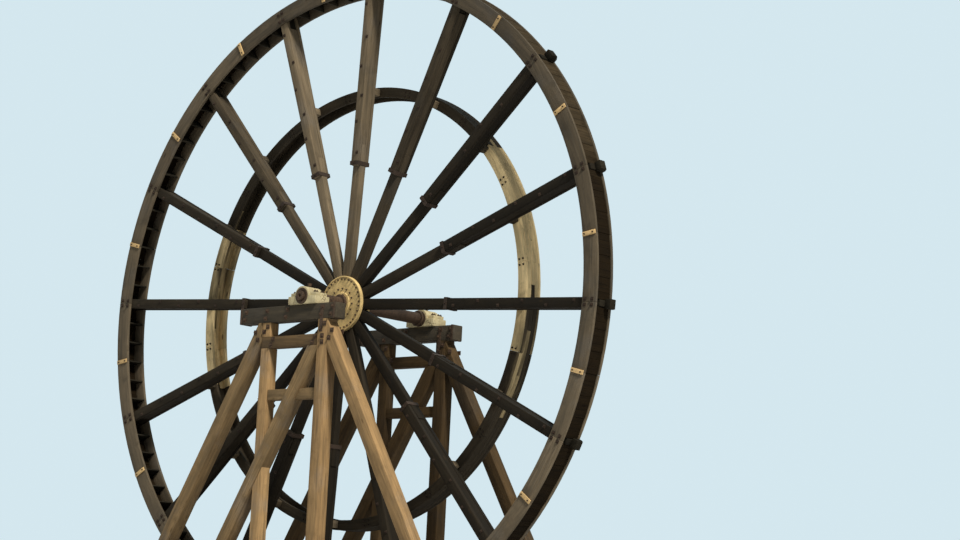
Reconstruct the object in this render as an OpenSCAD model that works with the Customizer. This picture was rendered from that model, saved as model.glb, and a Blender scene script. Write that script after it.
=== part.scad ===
// Timber bucket-lifting water wheel on two braced trestles, built as the real one is:
// a continuous wheel on an iron shaft, carried by two pillow bearings.
// Millimetres. +Z up, ground at z = 0, wheel in the XZ plane, axle along Y, viewer on the -Y side.

/* [Wheel] */
// Outside diameter of the bucket rim
wheel_d = 17680; // [12000:10:19000]
// Height of the axle above the lowest ground point
hub_z = 9550; // [7000:10:11000]
// Place of the wheel's middle plane along the axle
wheel_y = -920; // [-1200:10:-400]
// Turn of the whole wheel about its axle, degrees clockwise from the front
wheel_phase = 3.2; // [0:0.1:22]
// Place of the spokes' plane behind the rim's middle plane
hub_y = 40; // [0:5:40]
// Number of spokes
n_spokes = 16; // [8:2:24]

/* [Bucket rim] */
// Radial depth of the shrouds
rim_depth = 430; // [300:10:700]
// Width of the rim along the axle
rim_width = 620; // [400:10:900]
// Thickness of the shroud planks
shroud_t = 70; // [40:5:120]
// Thickness of the sole planks that close the rim's outside
sole_t = 60; // [30:5:90]
// Thickness of one bucket board
board_t = 40; // [20:5:60]
// Width of a cleat over a shroud joint
cleat_w = 110; // [80:10:260]
// Thickness of a cleat over a shroud joint
cleat_t = 30; // [15:5:50]
// Gap of an open timber joint
joint_gap = 4; // [2:1:10]

/* [Spokes] */
// Width of a spoke in the wheel's plane
spoke_w = 280; // [150:10:400]
// Thickness of a spoke along the axle
spoke_t = 200; // [120:10:300]
// Radius at which a spoke starts
spoke_r0 = 460; // [440:10:600]
// Radius at which a spoke ends between its cheeks
spoke_r1 = 4300; // [3800:50:6000]
// Radius at which the cheeks start
cheek_r0 = 3710; // [2500:10:5000]
// Width of a cheek in the wheel's plane
cheek_w = 260; // [150:10:400]
// Thickness of a cheek along the axle
cheek_t = 100; // [50:5:140]
// Width of the tenon block between the cheeks, that comes through the sole
tenon_w = 160; // [100:10:240]
// Clearance of a tenon in the sole
tenon_gap = 6; // [3:1:15]
// Width of the spoke head on the rim's outside
head_w = 240; // [160:10:320]
// How far a spoke head stands out of the rim
head_out = 180; // [40:10:240]
// Front end of a spoke head, behind the wheel's middle plane
head_y0 = 40; // [-200:10:100]

/* [Inner ring] */
// Outside radius of the inner ring
ring_r = 5940; // [4500:10:7000]
// Radial depth of the inner ring
ring_depth = 270; // [150:10:500]
// Front face of the inner ring, behind the wheel's middle plane
ring_y0 = 450; // [300:10:700]
// Width of the inner ring along the axle
ring_w = 560; // [200:10:800]
// Thickness of the inner ring's side planks
ring_t = 80; // [40:5:120]
// Thickness of the inner ring's lagging
lag_t = 60; // [30:5:90]

/* [Hub and shaft] */
// Radius of the hub discs
disc_r = 740; // [600:10:1200]
// Thickness of a hub disc
disc_t = 90; // [40:5:160]
// Outside radius of the hub core between the discs
core_r = 430; // [250:10:455]
// Radius of the shaft between the journals
shaft_r = 160; // [100:5:220]
// Radius of a journal
journal_r = 130; // [80:5:180]
// Radial clearance of a journal in its bearing
journal_clear = 0.1; // [0.05:0.01:0.2]
// Length of the shaft's free end past a bearing
shaft_out = 90; // [40:10:200]

/* [Bearings] */
// Length of a bearing along the axle
bearing_l = 520; // [300:10:700]
// Width of a bearing's foot
bearing_w = 1000; // [600:10:1200]
// Outside radius of a bearing's cap
cap_r = 260; // [200:10:340]
// How far a bearing's bolting flange runs under the cap's round, and stays back from the foot's end
flange_inset = 40; // [20:5:80]
// How far the flange stays back from the foot's front and rear faces
flange_end = 60; // [20:5:100]
// Thickness of the flange
flange_t = 90; // [50:5:140]

/* [Trestles] */
// Distance of each trestle's middle plane from the part's middle
trestle_y = 2250; // [1900:10:2600]
// Section of the posts and rakers
leg = 360; // [240:10:480]
// Section of the left post and the tie
leg_small = 310; // [200:10:400]
// Height of the bearing beam
beam_h = 410; // [300:10:560]
// Drop from the axle to the top of the bearing beam
beam_drop = 210; // [200:10:300]
// Left end of the bearing beam
beam_x0 = -2400; // [-3200:10:-2000]
// Right end of the bearing beam
beam_x1 = 1200; // [1100:10:2000]
// Place of the right post
post_r_x = 760; // [500:10:1000]
// Place of the left post
post_l_x = -1380; // [-2000:10:-1100]
// Drop from the axle to the top of the tie between the posts
tie_drop = 1000; // [800:10:1400]
// Height of the tie
tie_h = 300; // [200:10:400]
// Spread of a raker for each metre that it falls, in millimetres
rake = 600; // [450:10:640]
// Place of the right raker's middle line at the beam's underside
raker_r_x = 690; // [500:10:900]
// Place of the middle raker's middle line at the tie's top
raker_m_x = 620; // [400:10:800]
// Place of the left raker's middle line at the beam's underside
raker_l_x = -1440; // [-1900:10:-1300]
// Drop from the axle to the upper girt's middle line
girt_drop = 2540; // [2000:10:4000]
// Height of the upper girt
girt_h = 280; // [160:10:400]
// Thickness of the upper girt
girt_t = 240; // [120:10:300]
// Height of the low girt's middle line above the ground
low_girt_z = 2900; // [2500:10:4500]
// Height of the low girt plank
low_girt_h = 300; // [160:10:400]
// Thickness of the low girt plank
low_girt_t = 80; // [50:5:120]
// How far the low girt runs past the outer rakers
girt_past = 300; // [260:10:600]

/* [Ground timbers] */
// Height of the sills and of the cross sills under them
sill_h = 340; // [240:10:420]
// How far a sill runs past its outer rakers
sill_past = 350; // [250:10:800]
// Width of a cross sill
cross_w = 360; // [240:10:480]
// Reach of the cross sills from the part's middle
cross_y = 3950; // [3000:10:4600]
// Places of the two cross sills that carry the outward braces
brace_x = 3600; // [3000:10:3900]
// Section of an outward brace
brace_w = 240; // [160:10:320]

/* [Hidden] */
R = wheel_d / 2;
bay = 360 / n_spokes;
half = bay / 2;
rim_in = R - rim_depth;
inside = rim_width / 2 - shroud_t;
sole_r1 = R - 20;
sole_r0 = sole_r1 - sole_t;
seg_n = 2 * n_spokes;
spoke_y = wheel_y + hub_y;
wood = [0.45, 0.38, 0.28];
pale = [0.62, 0.50, 0.34];
iron = [0.32, 0.28, 0.25];

function at(r, a) = [r * sin(a), r * cos(a)];
function spoke_a(i) = wheel_phase + bay * i;
// radius of a straight plank's inner chord at an angle off its middle
function chord(r, off, h) = r * cos(h) / cos(off);

// a flat shape in the wheel's or trestle's plane, thick from y1 to y2
module plate(y1, y2) {
  translate([0, y2, hub_z]) rotate([90, 0, 0]) linear_extrude(y2 - y1) children();
}
module wplate(y1, y2) { plate(wheel_y + y1, wheel_y + y2) children(); }
// a round about the axle
module round_y(r, y1, y2, fn = 96) {
  translate([0, y2, hub_z]) rotate([90, 0, 0]) cylinder(r = r, h = y2 - y1, $fn = fn);
}
// one straight plank of a ring between two angles
module plank(ri, ro, a0, a1, g0, g1) {
  e0 = g0 / ro * 57.2958;
  e1 = g1 / ro * 57.2958;
  polygon([at(ri, a0 + e0), at(ro, a0 + e0), at(ro, (a0 + a1) / 2), at(ro, a1 - e1), at(ri, a1 - e1)]);
}
module ring_planks(ri, ro, gs) {
  for (j = [0 : seg_n - 1]) {
    a0 = wheel_phase + half * j;
    plank(ri, ro, a0, a0 + half, j % 2 == 0 ? gs : joint_gap / 2, j % 2 == 0 ? joint_gap / 2 : gs);
  }
}
// a member lying along a spoke: an outline in the (radius, y) plane, w wide in the wheel's plane
module along_spoke(i, w, pts) {
  translate([0, wheel_y, hub_z]) rotate([0, spoke_a(i), 0])
    translate([w / 2, 0, 0]) rotate([0, -90, 0]) linear_extrude(w) polygon(pts);
}

module shaft() color(iron) {
  round_y(shaft_r, -trestle_y + bearing_l / 2 + 10, trestle_y - bearing_l / 2 - 10);
  round_y(journal_r, -trestle_y - bearing_l / 2 - shaft_out, trestle_y + bearing_l / 2 + shaft_out);
}
module hub_core() color(iron)
  difference() {
    round_y(core_r, spoke_y - spoke_t / 2, spoke_y + spoke_t / 2);
    round_y(shaft_r, spoke_y - spoke_t, spoke_y + spoke_t);
  }
module hub_disc(y1) color(pale)
  difference() {
    round_y(disc_r, spoke_y + y1, spoke_y + y1 + disc_t, 96);
    round_y(shaft_r, spoke_y + y1 - 10, spoke_y + y1 + disc_t + 10);
  }
module hub_disc_front() hub_disc(-spoke_t / 2 - disc_t);
module hub_disc_rear() hub_disc(spoke_t / 2);

module spoke(i) {
  k = tan(half);
  g = joint_gap;
  rf = (spoke_w / 2 + g) / k;
  rotate(-spoke_a(i))
    polygon([[-spoke_r0 * k + g, spoke_r0], [-spoke_w / 2, rf], [-spoke_w / 2, spoke_r1],
      [spoke_w / 2, spoke_r1], [spoke_w / 2, rf], [spoke_r0 * k - g, spoke_r0]]);
}
module spokes(k) color(wood)
  wplate(hub_y - spoke_t / 2, hub_y + spoke_t / 2)
    for (i = [k : 2 : n_spokes - 1]) spoke(i);
module spokes_odd() spokes(0);
module spokes_even() spokes(1);

// the cheeks fork from the spoke's two faces to the two shrouds
cheek_r1 = sole_r0 - 60;
cheek_r2 = rim_in - 30;
// y of a cheek's inner and outer face at a radius
function along(y0, y1, r, r0, r1) = y0 + (y1 - y0) * (r - r0) / (r1 - r0);
function cheek_in(s, r) = along(hub_y + s * spoke_t / 2, s * (inside - cheek_t), r, cheek_r0, cheek_r1);
function cheek_out(s, r) = along(hub_y + s * (spoke_t / 2 + cheek_t), s * inside, r, cheek_r0, cheek_r2);
module cheeks(s) color(wood)
  for (i = [0 : n_spokes - 1])
    along_spoke(i, cheek_w, [
      [cheek_r0, cheek_in(s, cheek_r0)], [cheek_r1, cheek_in(s, cheek_r1)],
      [cheek_r1, s * inside], [cheek_r2, s * inside], [cheek_r0, cheek_out(s, cheek_r0)]]);
module cheeks_front() cheeks(-1);
module cheeks_rear() cheeks(1);

tenon_r0 = rim_in - 140;
slip = board_t / 100;
module spoke_tenons() color(wood)
  for (i = [0 : n_spokes - 1])
    along_spoke(i, tenon_w, [
      [tenon_r0, cheek_in(-1, tenon_r0) + slip],
      [cheek_r1, cheek_in(-1, cheek_r1) + slip],
      [R, cheek_in(-1, cheek_r1) + slip],
      [R, cheek_in(1, cheek_r1) - slip],
      [cheek_r1, cheek_in(1, cheek_r1) - slip],
      [tenon_r0, cheek_in(1, tenon_r0) - slip]]);
module spoke_heads() color(wood)
  for (i = [0 : n_spokes - 1])
    along_spoke(i, head_w, [
      [R, head_y0], [R + head_out, head_y0], [R + head_out, inside],
      [R + head_out / 2, rim_width / 2 - shroud_t / 7], [R, rim_width / 2 - shroud_t / 7]]);

module shroud_front() color(wood)
  wplate(-rim_width / 2, -inside) ring_planks(rim_in, R, joint_gap / 2);
module shroud_rear() color(wood)
  wplate(inside, rim_width / 2) ring_planks(rim_in, R, joint_gap / 2);
module sole() color(wood)
  wplate(-inside, inside) ring_planks(sole_r0, sole_r1, (tenon_w / 2 + tenon_gap) * 1.01);
module bucket_boards() color(wood)
  for (i = [0 : n_spokes - 1]) for (k = [1 : 5]) {
    off = k * bay / 6;
    w = off % half;
    r1 = chord(sole_r0, w - half / 2, half / 2);
    wplate(-inside, inside)
      rotate(-(spoke_a(i) + off)) translate([-board_t / 2, rim_in + 15])
        square([board_t, r1 - rim_in - 15 - board_t * 0.1]);
  }
module joint_cleats() color(pale)
  wplate(-rim_width / 2 - cleat_t, -rim_width / 2)
    for (i = [0 : n_spokes - 1])
      rotate(-(spoke_a(i) + half)) translate([-cleat_w / 2, rim_in + 15])
        square([cleat_w, rim_depth - 30]);

module ring_front() color(wood)
  wplate(ring_y0, ring_y0 + ring_t) ring_planks(ring_r - ring_depth, ring_r, joint_gap / 2);
module ring_rear() color(wood)
  wplate(ring_y0 + ring_w - ring_t, ring_y0 + ring_w) ring_planks(ring_r - ring_depth, ring_r, joint_gap / 2);
module ring_lagging() color(pale)
  wplate(ring_y0 + ring_t, ring_y0 + ring_w - ring_t) ring_planks(ring_r - lag_t, ring_r, joint_gap / 2);
module ring_chocks() color(wood)
  for (i = [0 : n_spokes - 1]) {
    r0 = ring_r - ring_depth + 20;
    r1 = ring_r - 50;
    along_spoke(i, 200, [[r0, cheek_out(1, r0)], [r1, cheek_out(1, r1)], [r1, ring_y0], [r0, ring_y0]]);
  }

// Trestles: flat outlines seen from the front, the axle at [0, 0]
beam_top = -beam_drop;
beam_bot = beam_top - beam_h;
ground = -hub_z;
sill_bot = ground + sill_h;
sill_top = sill_bot + sill_h;
tie_z1 = -tie_drop;
tie_z0 = tie_z1 - tie_h;
post_r_in = post_r_x - leg / 2;
post_l_out = post_l_x - leg_small / 2;
slope = rake / 1000;
far = 2 * hub_z;
// where a raker's middle line stands at a height: s = 1 leans right, -1 left
function raker_x(x0, z0, s, z) = x0 + s * slope * (z0 - z);
foot_r_x = raker_x(raker_r_x, beam_bot, 1, sill_top);
foot_m_x = raker_x(raker_m_x, tie_z1, -1, sill_top);
foot_l_x = raker_x(raker_l_x, beam_bot, -1, sill_top);
module box2(x0, z0, x1, z1) polygon([[x0, z0], [x1, z0], [x1, z1], [x0, z1]]);
// a leaning timber through [x0, z0], cut level at its top and foot
module leaning(x0, z0, s, top) {
  w = leg / 2 * sqrt(1 + slope * slope);
  a = raker_x(x0, z0, s, top);
  b = raker_x(x0, z0, s, sill_top);
  polygon([[a - w, top], [a + w, top], [b + w, sill_top], [b - w, sill_top]]);
}
module o_beam() box2(beam_x0, beam_bot, beam_x1, beam_top);
module o_sill() box2(foot_l_x - sill_past, sill_bot, foot_r_x + sill_past, sill_top);
module o_post_right() box2(post_r_in, sill_top, post_r_x + leg / 2, beam_bot);
module o_tie() box2(post_l_out, tie_z0, post_r_in, tie_z1);
module o_raker_right() difference() {
  leaning(raker_r_x, beam_bot, 1, beam_bot);
  box2(-far, ground, post_r_x + leg / 2, 0);
}
module o_raker_middle() difference() {
  leaning(raker_m_x, tie_z1, -1, tie_z0);
  box2(post_r_in, ground, far, 0);
}
module o_post_left() difference() {
  box2(post_l_out, sill_top, post_l_x + leg_small / 2, beam_bot);
  o_tie();
  o_raker_middle();
}
module o_raker_left() difference() {
  leaning(raker_l_x, beam_bot, -1, beam_bot);
  box2(post_l_out, ground, far, 0);
}
// s = -1 front, 1 rear: y of the trestle's middle plane
module tplate(s, w = leg) plate(s * trestle_y - w / 2, s * trestle_y + w / 2) children();

module t_sill(s) color(wood) tplate(s) o_sill();
module t_post_right(s) color(pale) tplate(s) o_post_right();
module t_post_left(s) color(pale) tplate(s, leg_small) o_post_left();
module t_raker_right(s) color(pale) tplate(s) o_raker_right();
module t_raker_middle(s) color(pale) tplate(s) o_raker_middle();
module t_raker_left(s) color(pale) tplate(s) o_raker_left();
module t_beam(s) color(pale) tplate(s) o_beam();
module t_tie(s) color(pale) tplate(s, leg_small) o_tie();
// upper girt between the posts, and a low plank girt on the outside of the legs
low_z = ground + low_girt_z;
module t_girts(s) color(wood) {
  tplate(s, girt_t) difference() {
    box2(post_l_x + leg_small / 2, -girt_drop - girt_h / 2, post_r_in, -girt_drop + girt_h / 2);
    o_raker_middle();
  }
  y1 = s * (trestle_y + leg / 2);
  plate(min(y1, y1 + s * low_girt_t), max(y1, y1 + s * low_girt_t))
    box2(raker_x(raker_l_x, beam_bot, -1, low_z) - girt_past, low_z - low_girt_h / 2,
         raker_x(raker_r_x, beam_bot, 1, low_z) + girt_past, low_z + low_girt_h / 2);
}
// outward braces from the cross sills to the low girt, cut level at the foot and plumb at the top
module t_outriggers(s) color(wood) {
  y0 = trestle_y + leg / 2 + low_girt_t;
  z1 = low_girt_z + low_girt_h / 2;
  run = cross_y - brace_w - y0;
  k = run / (z1 - sill_h);
  d = brace_w * sqrt(1 + k * k);
  for (x = [-brace_x, brace_x])
    translate([x - brace_w / 2, 0, 0]) rotate([90, 0, 90]) linear_extrude(brace_w)
      polygon([
        [s * y0, z1], [s * y0, z1 - d / k],
        [s * (y0 + run - d / 2), sill_h], [s * (y0 + run + d / 2), sill_h]]);
}
module t_base(s) color(iron)
  difference() {
    translate([-bearing_w / 2, s * trestle_y - bearing_l / 2, hub_z + beam_top])
      cube([bearing_w, bearing_l, beam_drop]);
    round_y(journal_r + journal_clear, s * trestle_y - bearing_l, s * trestle_y + bearing_l);
  }
module t_cap(s) color(pale) {
  plate(s * trestle_y - bearing_l / 2, s * trestle_y + bearing_l / 2)
    difference() {
      circle(r = cap_r, $fn = 64);
      circle(r = journal_r + journal_clear, $fn = 96);
      box2(-bearing_w, -bearing_w, bearing_w, 0);
    }
  for (x = [-1, 1]) {
    foot_in = x * (cap_r - flange_inset);
    foot_out = x * (bearing_w / 2 - flange_inset);
    plate(s * trestle_y - bearing_l / 2 + flange_end, s * trestle_y + bearing_l / 2 - flange_end)
      difference() {
        box2(min(foot_in, foot_out), 0, max(foot_in, foot_out), flange_t);
        circle(r = cap_r - 1, $fn = 64);
      }
  }
}
module cross_sills() color(wood)
  for (x = [foot_l_x, -brace_x, (post_l_x + post_r_x) / 2, brace_x, foot_r_x])
    translate([x - cross_w / 2, -cross_y, 0]) cube([cross_w, 2 * cross_y, sill_h]);

module sill_front() t_sill(-1);
module post_right_front() t_post_right(-1);
module post_left_front() t_post_left(-1);
module raker_right_front() t_raker_right(-1);
module raker_middle_front() t_raker_middle(-1);
module raker_left_front() t_raker_left(-1);
module beam_front() t_beam(-1);
module tie_front() t_tie(-1);
module girts_front() t_girts(-1);
module outriggers_front() t_outriggers(-1);
module bearing_base_front() t_base(-1);
module bearing_cap_front() t_cap(-1);
module sill_rear() t_sill(1);
module post_right_rear() t_post_right(1);
module post_left_rear() t_post_left(1);
module raker_right_rear() t_raker_right(1);
module raker_middle_rear() t_raker_middle(1);
module raker_left_rear() t_raker_left(1);
module beam_rear() t_beam(1);
module tie_rear() t_tie(1);
module girts_rear() t_girts(1);
module outriggers_rear() t_outriggers(1);
module bearing_base_rear() t_base(1);
module bearing_cap_rear() t_cap(1);

shaft();
hub_core();
hub_disc_front();
hub_disc_rear();
spokes_odd();
spokes_even();
cheeks_front();
cheeks_rear();
spoke_tenons();
spoke_heads();
shroud_front();
shroud_rear();
sole();
bucket_boards();
joint_cleats();
ring_front();
ring_rear();
ring_lagging();
ring_chocks();
cross_sills();
sill_front();
post_right_front();
post_left_front();
raker_right_front();
raker_middle_front();
raker_left_front();
beam_front();
tie_front();
girts_front();
outriggers_front();
bearing_base_front();
bearing_cap_front();
sill_rear();
post_right_rear();
post_left_rear();
raker_right_rear();
raker_middle_rear();
raker_left_rear();
beam_rear();
tie_rear();
girts_rear();
outriggers_rear();
bearing_base_rear();
bearing_cap_rear();
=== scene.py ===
"""Dresses the timber bucket wheel: worn timbers, boards, bolts, straps, ironwork and finishes."""

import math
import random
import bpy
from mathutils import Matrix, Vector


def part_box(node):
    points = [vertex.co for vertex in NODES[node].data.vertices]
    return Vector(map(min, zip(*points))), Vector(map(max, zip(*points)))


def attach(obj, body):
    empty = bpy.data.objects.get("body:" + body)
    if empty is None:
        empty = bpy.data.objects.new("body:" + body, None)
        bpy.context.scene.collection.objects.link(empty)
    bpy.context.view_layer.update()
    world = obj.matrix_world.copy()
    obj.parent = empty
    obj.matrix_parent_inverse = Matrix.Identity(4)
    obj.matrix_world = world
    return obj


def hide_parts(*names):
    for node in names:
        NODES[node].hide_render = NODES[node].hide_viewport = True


bl_info = {
    "name": "Timber Bucket Wheel",
    "version": (1, 0, 0),
    "blender": (4, 5, 0),
    "location": "View3D > Sidebar > Bucket Wheel",
    "description": "Builds the dressed timbers, boards and ironwork of a large bucket wheel on two trestles",
    "category": "Object",
}

import bmesh
import bpy
from bpy.props import FloatProperty, FloatVectorProperty, IntProperty, PointerProperty
from mathutils import Matrix, Vector

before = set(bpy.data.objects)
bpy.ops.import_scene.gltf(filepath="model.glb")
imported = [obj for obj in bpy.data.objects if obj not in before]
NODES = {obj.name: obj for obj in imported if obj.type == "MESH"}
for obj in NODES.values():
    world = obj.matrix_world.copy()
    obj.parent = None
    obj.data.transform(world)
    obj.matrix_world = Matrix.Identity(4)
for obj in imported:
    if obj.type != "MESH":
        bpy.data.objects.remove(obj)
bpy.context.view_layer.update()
ENDS = ("front", "rear")

# the wheel's places that the frame gives
DISC_LO, DISC_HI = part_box("hub_disc_front")
REAR_DISC_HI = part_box("hub_disc_rear")[1]
SHROUD_LO, SHROUD_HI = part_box("shroud_front")
BACK_LO, BACK_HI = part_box("shroud_rear")
HUB_Z = (DISC_LO.z + DISC_HI.z) / 2
SPOKE_Y = (DISC_LO.y + REAR_DISC_HI.y) / 2
RIM_Y = (SHROUD_LO.y + BACK_HI.y) / 2
DISC_R = (DISC_HI.x - DISC_LO.x) / 2
DISC_T = DISC_HI.y - DISC_LO.y
# each disc's outer face, with the way it looks
DISC_FACES = (("front", DISC_LO.y, -1), ("rear", REAR_DISC_HI.y, 1))

# the wheel's sizes as the source has them, in metres
SPOKES = 16
BAY = math.tau / SPOKES
PHASE = math.radians(3.2)
RIM_R, RIM_IN = 8.84, 8.41
SOLE_IN, SOLE_MID, SOLE_OUT = 8.76, 8.80, 8.808
TENON_HALF = 0.088
RING_R, RING_IN = 5.94, 5.67
LAG_IN, LAG_OUT = 5.886, 5.934
SHAFT_R, JOURNAL_R, BORE_R = 0.16, 0.13, 0.1605
# the forked spoke: solid as far as its cheeks' heels, then two cheeks out to the rim
SPOKE_W, SPOKE_T, SPOKE_R1 = 0.28, 0.20, 4.30
CHEEK_R0, CHEEK_R1, CHEEK_R2 = 3.71, 8.70, 8.38
CHEEK_W, CHEEK_T = 0.26, 0.10
HEEL, TOE = 0.05, 0.060
TENON_R0, BAND_R = 8.27, 3.78

# a disc's bolts on a spoke, as radius and angle off the spoke, and the radii of the wheel's other bolts
DISC_BOLTS = ((0.655, -0.090), (0.655, 0.090), (0.400, 0.0))
CHEEK_BOLTS = (4.06, 4.9, 5.6, 6.4, 7.2, 8.1)
RIM_BOLTS = (8.50, 8.72)
CLEAT_BOLTS = (8.49, 8.75)
RING_BOLTS = (5.74, 5.86)
# side of the washer and width of the nut of each kind of bolt
BOLT_SIZES = {
    "disc": (0.040, 0.034), "band": (0.05, 0.04), "cheek": (0.08, 0.045), "rim": (0.09, 0.05),
    "cleat": (0.034, 0.026), "joint": (0.045, 0.036), "ring": (0.045, 0.034),
    "cap": (0.085, 0.07), "foot": (0.06, 0.05)}
# a washer's thickness, how far it is let into the timber, and the bolt's tip beyond its nut
PLATE_T, PLATE_SUNK, TIP = 0.012, 0.001, 0.02
# a bearing's bolts: the cap's and the foot's along x, both along y, and their height over the hub
CAP_X, FOOT_X, BEARING_BOLT_Y, FLANGE_Z = 0.34, 0.42, 0.12, 0.09
# the grease cup's neck, bowl and lid: foot and top over the hub, radius and sides
GREASE_CUP = ((0.25, 0.285, 0.028, 12), (0.28, 0.345, 0.052, 16), (0.345, 0.36, 0.058, 16))
# the trestles' straps and bands: thickness, a band's width, and its middle from the beam's end
IRON_T, BAND_W, BAND_IN = 0.010, 0.07, 0.06
# where along x the single cross sills lie, between the pairs at the two ends
CROSS_SILLS = (-3.6, -0.31, 3.6)

# the camera: its angles in degrees, its distance in rim radii, its focal length and the hub's place off
# the picture's middle in pixels, the picture's width in pixels and the film's in millimetres
VIEW_AZIMUTH, VIEW_ELEVATION, VIEW_ROLL = 45.2, -7.95, 3.3
VIEW_DISTANCE, FOCAL, HUB_RIGHT, HUB_DOWN = 7.50, 2500.0, -133.0, 42.0
PICTURE_W, FILM_W = 960, 36.0
# the lamps: azimuth, height, strength, colour and the angle that softens the shadow
LAMPS = (
    ("key", 70, 46, 3.6, (1.0, 0.96, 0.88), 10),
    ("fill", -30, 25, 0.20, (0.90, 0.95, 1.0), 60))


# sizes and colours

class WheelSizes(bpy.types.PropertyGroup):
    arris: FloatProperty(
        name="Worn arris", description="Width of the worn edge of a heavy timber",
        default=0.014, min=0.002, max=0.04, unit="LENGTH")
    board_arris: FloatProperty(
        name="Board arris", description="Width of the worn edge of a board",
        default=0.006, min=0.001, max=0.02, unit="LENGTH")
    sole_boards: IntProperty(
        name="Sole boards", description="Cross boards of the rim's sole between a spoke and the next joint",
        default=9, min=4, max=16)
    lag_boards: IntProperty(
        name="Lagging boards", description="Boards side by side across the inner ring",
        default=3, min=2, max=6)
    bolt: FloatProperty(
        name="Bolt head", description="Distance across a bolt head's flats",
        default=0.062, min=0.02, max=0.12, unit="LENGTH")
    washer: FloatProperty(
        name="Washer", description="Side of a square plate washer",
        default=0.12, min=0.05, max=0.2, unit="LENGTH")
    strap: FloatProperty(
        name="Strap width", description="Width of an iron strap",
        default=0.11, min=0.03, max=0.2, unit="LENGTH")


class WheelColours(bpy.types.PropertyGroup):
    spoke: FloatVectorProperty(
        name="Spoke timber", description="Weathered brown-grey of the spokes",
        subtype="COLOR", size=3, default=(0.108, 0.086, 0.056))
    rim: FloatVectorProperty(
        name="Rim timber", description="Brown of the rim's side planks",
        subtype="COLOR", size=3, default=(0.110, 0.088, 0.058))
    wet: FloatVectorProperty(
        name="Stained timber", description="Near-black brown of the buckets and the sole",
        subtype="COLOR", size=3, default=(0.036, 0.031, 0.021))
    pale: FloatVectorProperty(
        name="Pale timber", description="Sun-bleached boards and cleats",
        subtype="COLOR", size=3, default=(0.56, 0.45, 0.25))
    warm: FloatVectorProperty(
        name="Trestle timber", description="Orange-brown of the posts and rakers",
        subtype="COLOR", size=3, default=(0.36, 0.235, 0.110))
    beam: FloatVectorProperty(
        name="Beam timber", description="Dark weathered brown of the beams and the sills",
        subtype="COLOR", size=3, default=(0.054, 0.044, 0.029))
    rust: FloatVectorProperty(
        name="Rusted iron", description="Rust of the bolts, straps and shaft",
        subtype="COLOR", size=3, default=(0.070, 0.042, 0.026))
    ochre: FloatVectorProperty(
        name="Hub iron", description="Dusty golden brown of the hub's discs",
        subtype="COLOR", size=3, default=(0.72, 0.52, 0.22))
    cream: FloatVectorProperty(
        name="Bearing paint", description="Chalky cream of the bearings",
        subtype="COLOR", size=3, default=(0.56, 0.48, 0.28))


def sizes():
    return bpy.context.scene.wheel_sizes


def colours():
    return bpy.context.scene.wheel_colours


# shader maths

class Sock:
    """A shader socket that takes part in Python arithmetic."""

    def __init__(self, tree, value):
        self.tree, self.value = tree, value

    def math(self, operation, *others, clamp=False):
        return self.tree.node("ShaderNodeMath", {"operation": operation, "use_clamp": clamp}, self, *others)

    def __add__(self, o):
        return self.math("ADD", o)

    def __sub__(self, o):
        return self.math("SUBTRACT", o)

    def __mul__(self, o):
        return self.math("MULTIPLY", o)

    def __radd__(self, o):
        return self.math("ADD", o)

    def __rmul__(self, o):
        return self.math("MULTIPLY", o)

    def __rsub__(self, o):
        return self.tree.node("ShaderNodeMath", {"operation": "SUBTRACT"}, o, self)

    def band(self, low, high):
        """0 below low, 1 above high, smooth between."""
        return self.tree.node(
            "ShaderNodeMapRange", {"interpolation_type": "SMOOTHSTEP"},
            **{"Value": self, "From Min": low, "From Max": high})


class Tree:
    """A node tree whose nodes are written as expressions."""

    def __init__(self, tree):
        self.nodes, self.links = tree.nodes, tree.links

    def feed(self, socket, value):
        """Links a socket, or sets its value. A colour may leave out its alpha."""
        if isinstance(value, Sock):
            self.links.new(value.value, socket)
        elif socket.type == "RGBA" and len(value) == 3:
            socket.default_value = (*value, 1.0)
        else:
            socket.default_value = value

    def node(self, kind, settings, *inputs, out=0, **named):
        """Adds a node with its settings, feeds its inputs by order or name, and gives one of its outputs."""
        made = self.nodes.new(kind)
        for key, value in settings.items():
            setattr(made, key, value)
        for socket, value in zip(made.inputs, inputs):
            self.feed(socket, value)
        for key, value in named.items():
            self.feed(made.inputs[key], value)
        return Sock(self, made.outputs[out])


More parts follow.
